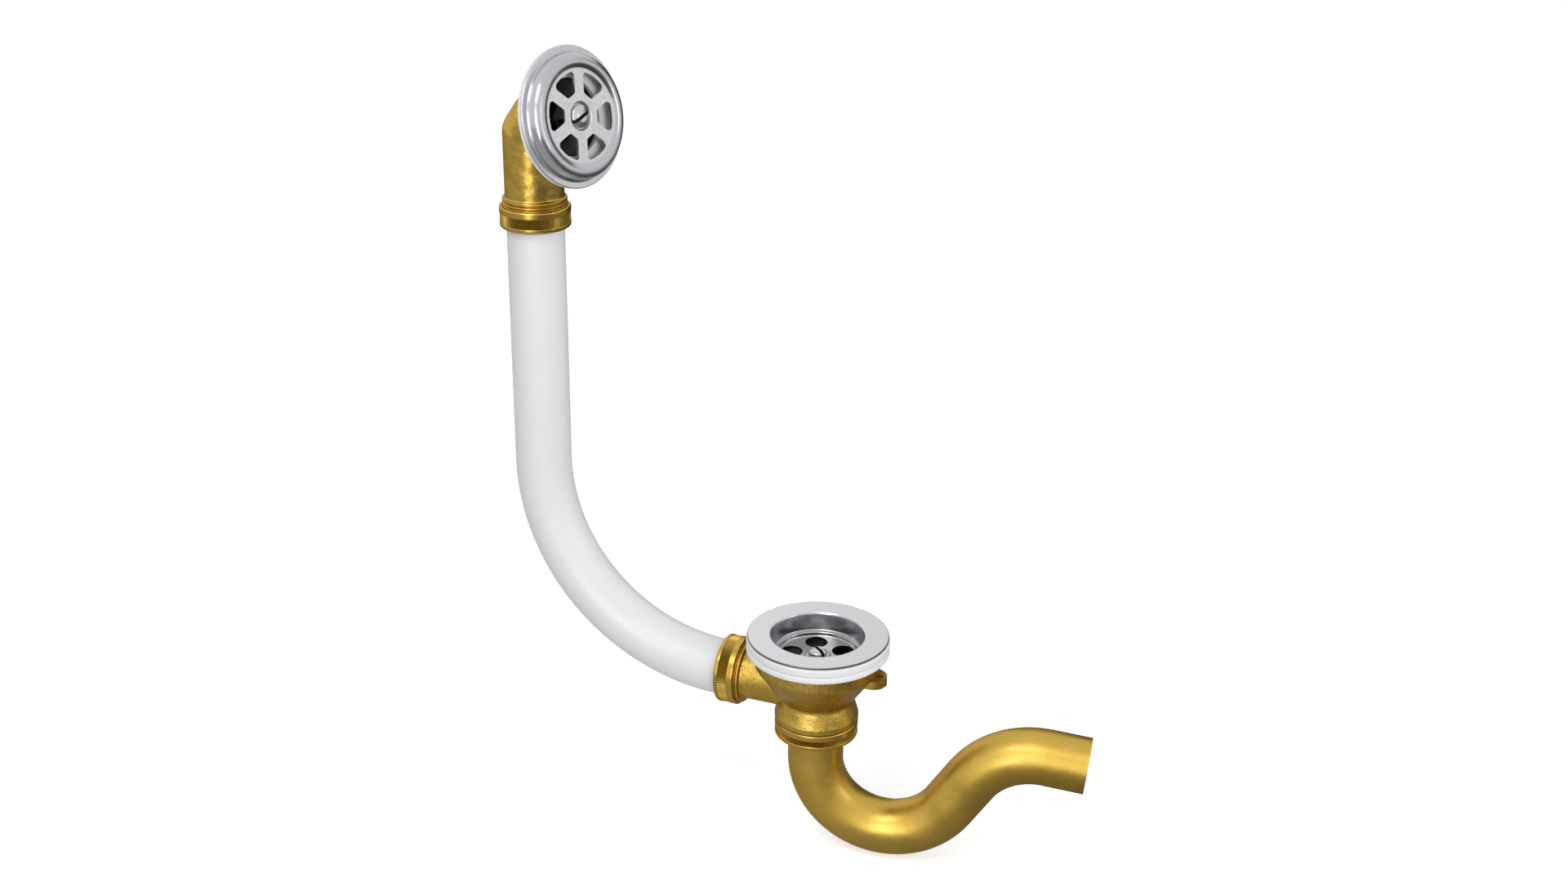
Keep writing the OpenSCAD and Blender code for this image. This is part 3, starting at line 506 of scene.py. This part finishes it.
class BATHTRAP_OT_stage(bpy.types.Operator):
    """Make the floor, the studio light, the glowing cards that paint dark reflections, and the camera"""
    bl_idname = "bath_trap.stage"
    bl_label = "Stage"

    def execute(self, context):
        stage = context.scene.bath_trap_stage
        self.make_camera(context, stage)
        self.make_floor(context)
        self.make_cards(context, stage)
        self.make_light(context, stage)
        return {"FINISHED"}

    def make_camera(self, context, stage):
        right, up, back = view_axes(stage.azimuth, stage.pitch, stage.roll)
        camera = bpy.data.objects.new("camera", bpy.data.cameras.new("camera"))
        camera.data.sensor_width = 36
        camera.data.lens = stage.focal_length
        camera.matrix_world = (Matrix.Translation(Vector(stage.target) + back * stage.distance)
                               @ Matrix((right, up, back)).transposed().to_4x4())
        context.scene.collection.objects.link(camera)
        context.scene.camera = camera

    def stage_piece(self, context, name, sheet):
        """Turns a bmesh into a piece of the studio."""
        mesh = bpy.data.meshes.new(name)
        sheet.to_mesh(mesh)
        sheet.free()
        piece = bpy.data.objects.new(name, mesh)
        context.scene.collection.objects.link(piece)
        return piece

    def make_floor(self, context):
        sheet = bmesh.new()
        bmesh.ops.create_grid(sheet, x_segments=1, y_segments=1, size=8,
                              matrix=Matrix.Translation((0, 0, CAD_BOX[0][2])))
        floor = self.stage_piece(context, "floor", sheet)
        # Painted and lit from below: seen as plain white, while the shadow still darkens it.
        material, tree, place, output = new_material("white_studio_floor")
        radius, height = round_axis(tree, place, (0, 0, 0), (0, 0, 1))
        lift = add_node(tree, "ShaderNodeMapRange", {"Value": radius, "From Min": 0.3,
                                                     "From Max": 1.6, "To Min": 0.58,
                                                     "To Max": 0.72})
        matt = add_node(tree, "ShaderNodeBsdfDiffuse", {"Color": linear("#e6e6e6")})
        glow = add_node(tree, "ShaderNodeEmission", {"Color": linear("#ffffff"),
                                                     "Strength": lift.outputs["Result"]})
        white = add_node(tree, "ShaderNodeAddShader", {0: matt.outputs[0], 1: glow.outputs[0]})
        seen_background(tree, output, matt.outputs[0], white.outputs[0])
        floor.data.materials.append(material)

    def make_cards(self, context, stage):
        """Grey cards that glow and that only the metal's reflections see: they paint the dark bands and
        shades into its reflections. One lies on the floor, the other stands behind on the right."""
        right = Vector((math.cos(stage.azimuth), math.sin(stage.azimuth), 0))
        sheet = bmesh.new()
        bmesh.ops.create_circle(sheet, cap_ends=True, segments=64, radius=3.5,
                                matrix=Matrix.Translation((0, 0, CAD_BOX[0][2] + 0.0005)))
        self.add_card(context, "floor_card", sheet, right, (-1.0, 3.5),
                      ((0.215, "#b8b8b8"), (0.252, "#7c7c7c"), (0.285, "#484848"), (0.356, "#6c6c6c"),
                       (0.44, "#989898")))
        near, far = Vector((1.10, 0.85, CAD_BOX[0][2])), Vector((-0.60, 1.60, CAD_BOX[0][2]))
        sheet = bmesh.new()
        foot = sheet.edges.new([sheet.verts.new(near), sheet.verts.new(far)])
        sides = bmesh.ops.extrude_edge_only(sheet, edges=[foot])["geom"]
        bmesh.ops.translate(sheet, vec=(0, 0, 0.78),
                            verts=[v for v in sides if isinstance(v, bmesh.types.BMVert)])
        self.add_card(context, "standing_card", sheet, right, (0.0, 1.33),
                      ((0.0, "#1c1c1c"), (0.45, "#1c1c1c"), (0.71, "#4c4c4c"), (0.86, "#8c8c8c"),
                       (1.0, "#b4b4b4")))

    def add_card(self, context, name, sheet, direction, span, shades):
        card = self.stage_piece(context, name, sheet)
        # Glowing card graded from grey to black, without gloss: a painted reflection that gives the metal
        # its dark bands and soft shades.
        material, tree, place, output = new_material("painted_reflection_" + name)
        aside = add_node(tree, "ShaderNodeVectorMath", {0: place, 1: direction},
                         operation="DOT_PRODUCT")
        along = add_node(tree, "ShaderNodeMapRange", {"Value": aside.outputs["Value"],
                                                      "From Min": span[0], "From Max": span[1]})
        shade = add_node(tree, "ShaderNodeValToRGB", {"Fac": along.outputs["Result"]})
        stops = shade.color_ramp.elements
        stops.remove(stops[1])
        stops[0].position, stops[0].color = shades[0][0], linear(shades[0][1])
        for position, code in shades[1:]:
            stops.new(position).color = linear(code)
        card_glow = add_node(tree, "ShaderNodeEmission", {"Color": shade.outputs["Color"],
                                                     "Strength": 1.0})
        tree.links.new(card_glow.outputs[0], output.inputs["Surface"])
        card.data.materials.append(material)
        card.visible_camera = card.visible_diffuse = card.visible_shadow = False
        card.visible_transmission = False

    def make_light(self, context, stage):
        world = bpy.data.worlds.new("studio")
        context.scene.world = world
        world.use_nodes = True
        tree = world.node_tree
        tree.nodes.clear()
        output = add_node(tree, "ShaderNodeOutputWorld")
        room = add_node(tree, "ShaderNodeBackground", {"Color": linear("#ffffff"),
                                                       "Strength": stage.fill})
        white = add_node(tree, "ShaderNodeBackground", {"Color": linear("#ffffff"), "Strength": 1.0})
        seen_background(tree, output, room.outputs[0], white.outputs[0])
        strip = self.add_lamp(context, "strip", (0.0, -1.30, 0.38), (0.45, 1.0), (-0.1, 0, 0.38),
                              stage.strip_power)
        strip.visible_diffuse = False
        side = self.add_lamp(context, "side", (1.0, -0.75, 0.65), (0.6, 0.6), (-0.1, 0, 0.1),
                             stage.side_power)
        side.visible_glossy = False
        glint = self.add_lamp(context, "glint", (1.3, -0.08, 0.42), (0.25, 0.7), (-0.1, 0, 0.2),
                              stage.glint_power)
        glint.visible_diffuse = False
        self.add_lamp(context, "top", (-0.15, -0.85, 1.25), (0.8, 0.5), (0, 0, 0),
                      stage.top_power)

    def add_lamp(self, context, name, place, size, aim, power):
        lamp = bpy.data.objects.new(name, bpy.data.lights.new(name, "AREA"))
        lamp.data.shape = "RECTANGLE"
        lamp.data.size, lamp.data.size_y = size
        lamp.data.energy = power
        lamp.visible_camera = False
        towards = Vector(place) - Vector(aim)
        lamp.matrix_world = Matrix.Translation(place) @ towards.to_track_quat("Z", "Y").to_matrix().to_4x4()
        context.scene.collection.objects.link(lamp)
        return lamp


class BATHTRAP_PT_panel(bpy.types.Panel):
    """Sidebar panel with the finishes and the studio"""
    bl_label = "Bath Trap"
    bl_idname = "BATHTRAP_PT_panel"
    bl_space_type = "VIEW_3D"
    bl_region_type = "UI"
    bl_category = "Bath Trap"

    def draw(self, context):
        layout = self.layout
        for group in (context.scene.bath_trap_finish, context.scene.bath_trap_stage):
            for name in group.__annotations__:
                layout.prop(group, name)
        for operator in OPERATORS:
            layout.operator(operator.bl_idname)


OPERATORS = (BATHTRAP_OT_strainer, BATHTRAP_OT_grille, BATHTRAP_OT_screws, BATHTRAP_OT_rings,
             BATHTRAP_OT_pipe, BATHTRAP_OT_brass, BATHTRAP_OT_seals, BATHTRAP_OT_stage)
CLASSES = (FinishSettings, StageSettings, *OPERATORS, BATHTRAP_PT_panel)


def register():
    for cls in CLASSES:
        bpy.utils.register_class(cls)
    bpy.types.Scene.bath_trap_finish = PointerProperty(type=FinishSettings)
    bpy.types.Scene.bath_trap_stage = PointerProperty(type=StageSettings)


def unregister():
    del bpy.types.Scene.bath_trap_stage
    del bpy.types.Scene.bath_trap_finish
    for cls in reversed(CLASSES):
        bpy.utils.unregister_class(cls)


def main():
    register()
    bpy.context.scene.view_settings.view_transform = "Standard"
    for name in ("strainer", "grille", "screws", "rings", "pipe", "brass", "seals", "stage"):
        getattr(bpy.ops.bath_trap, name)()


if __name__ == "__main__":
    main()
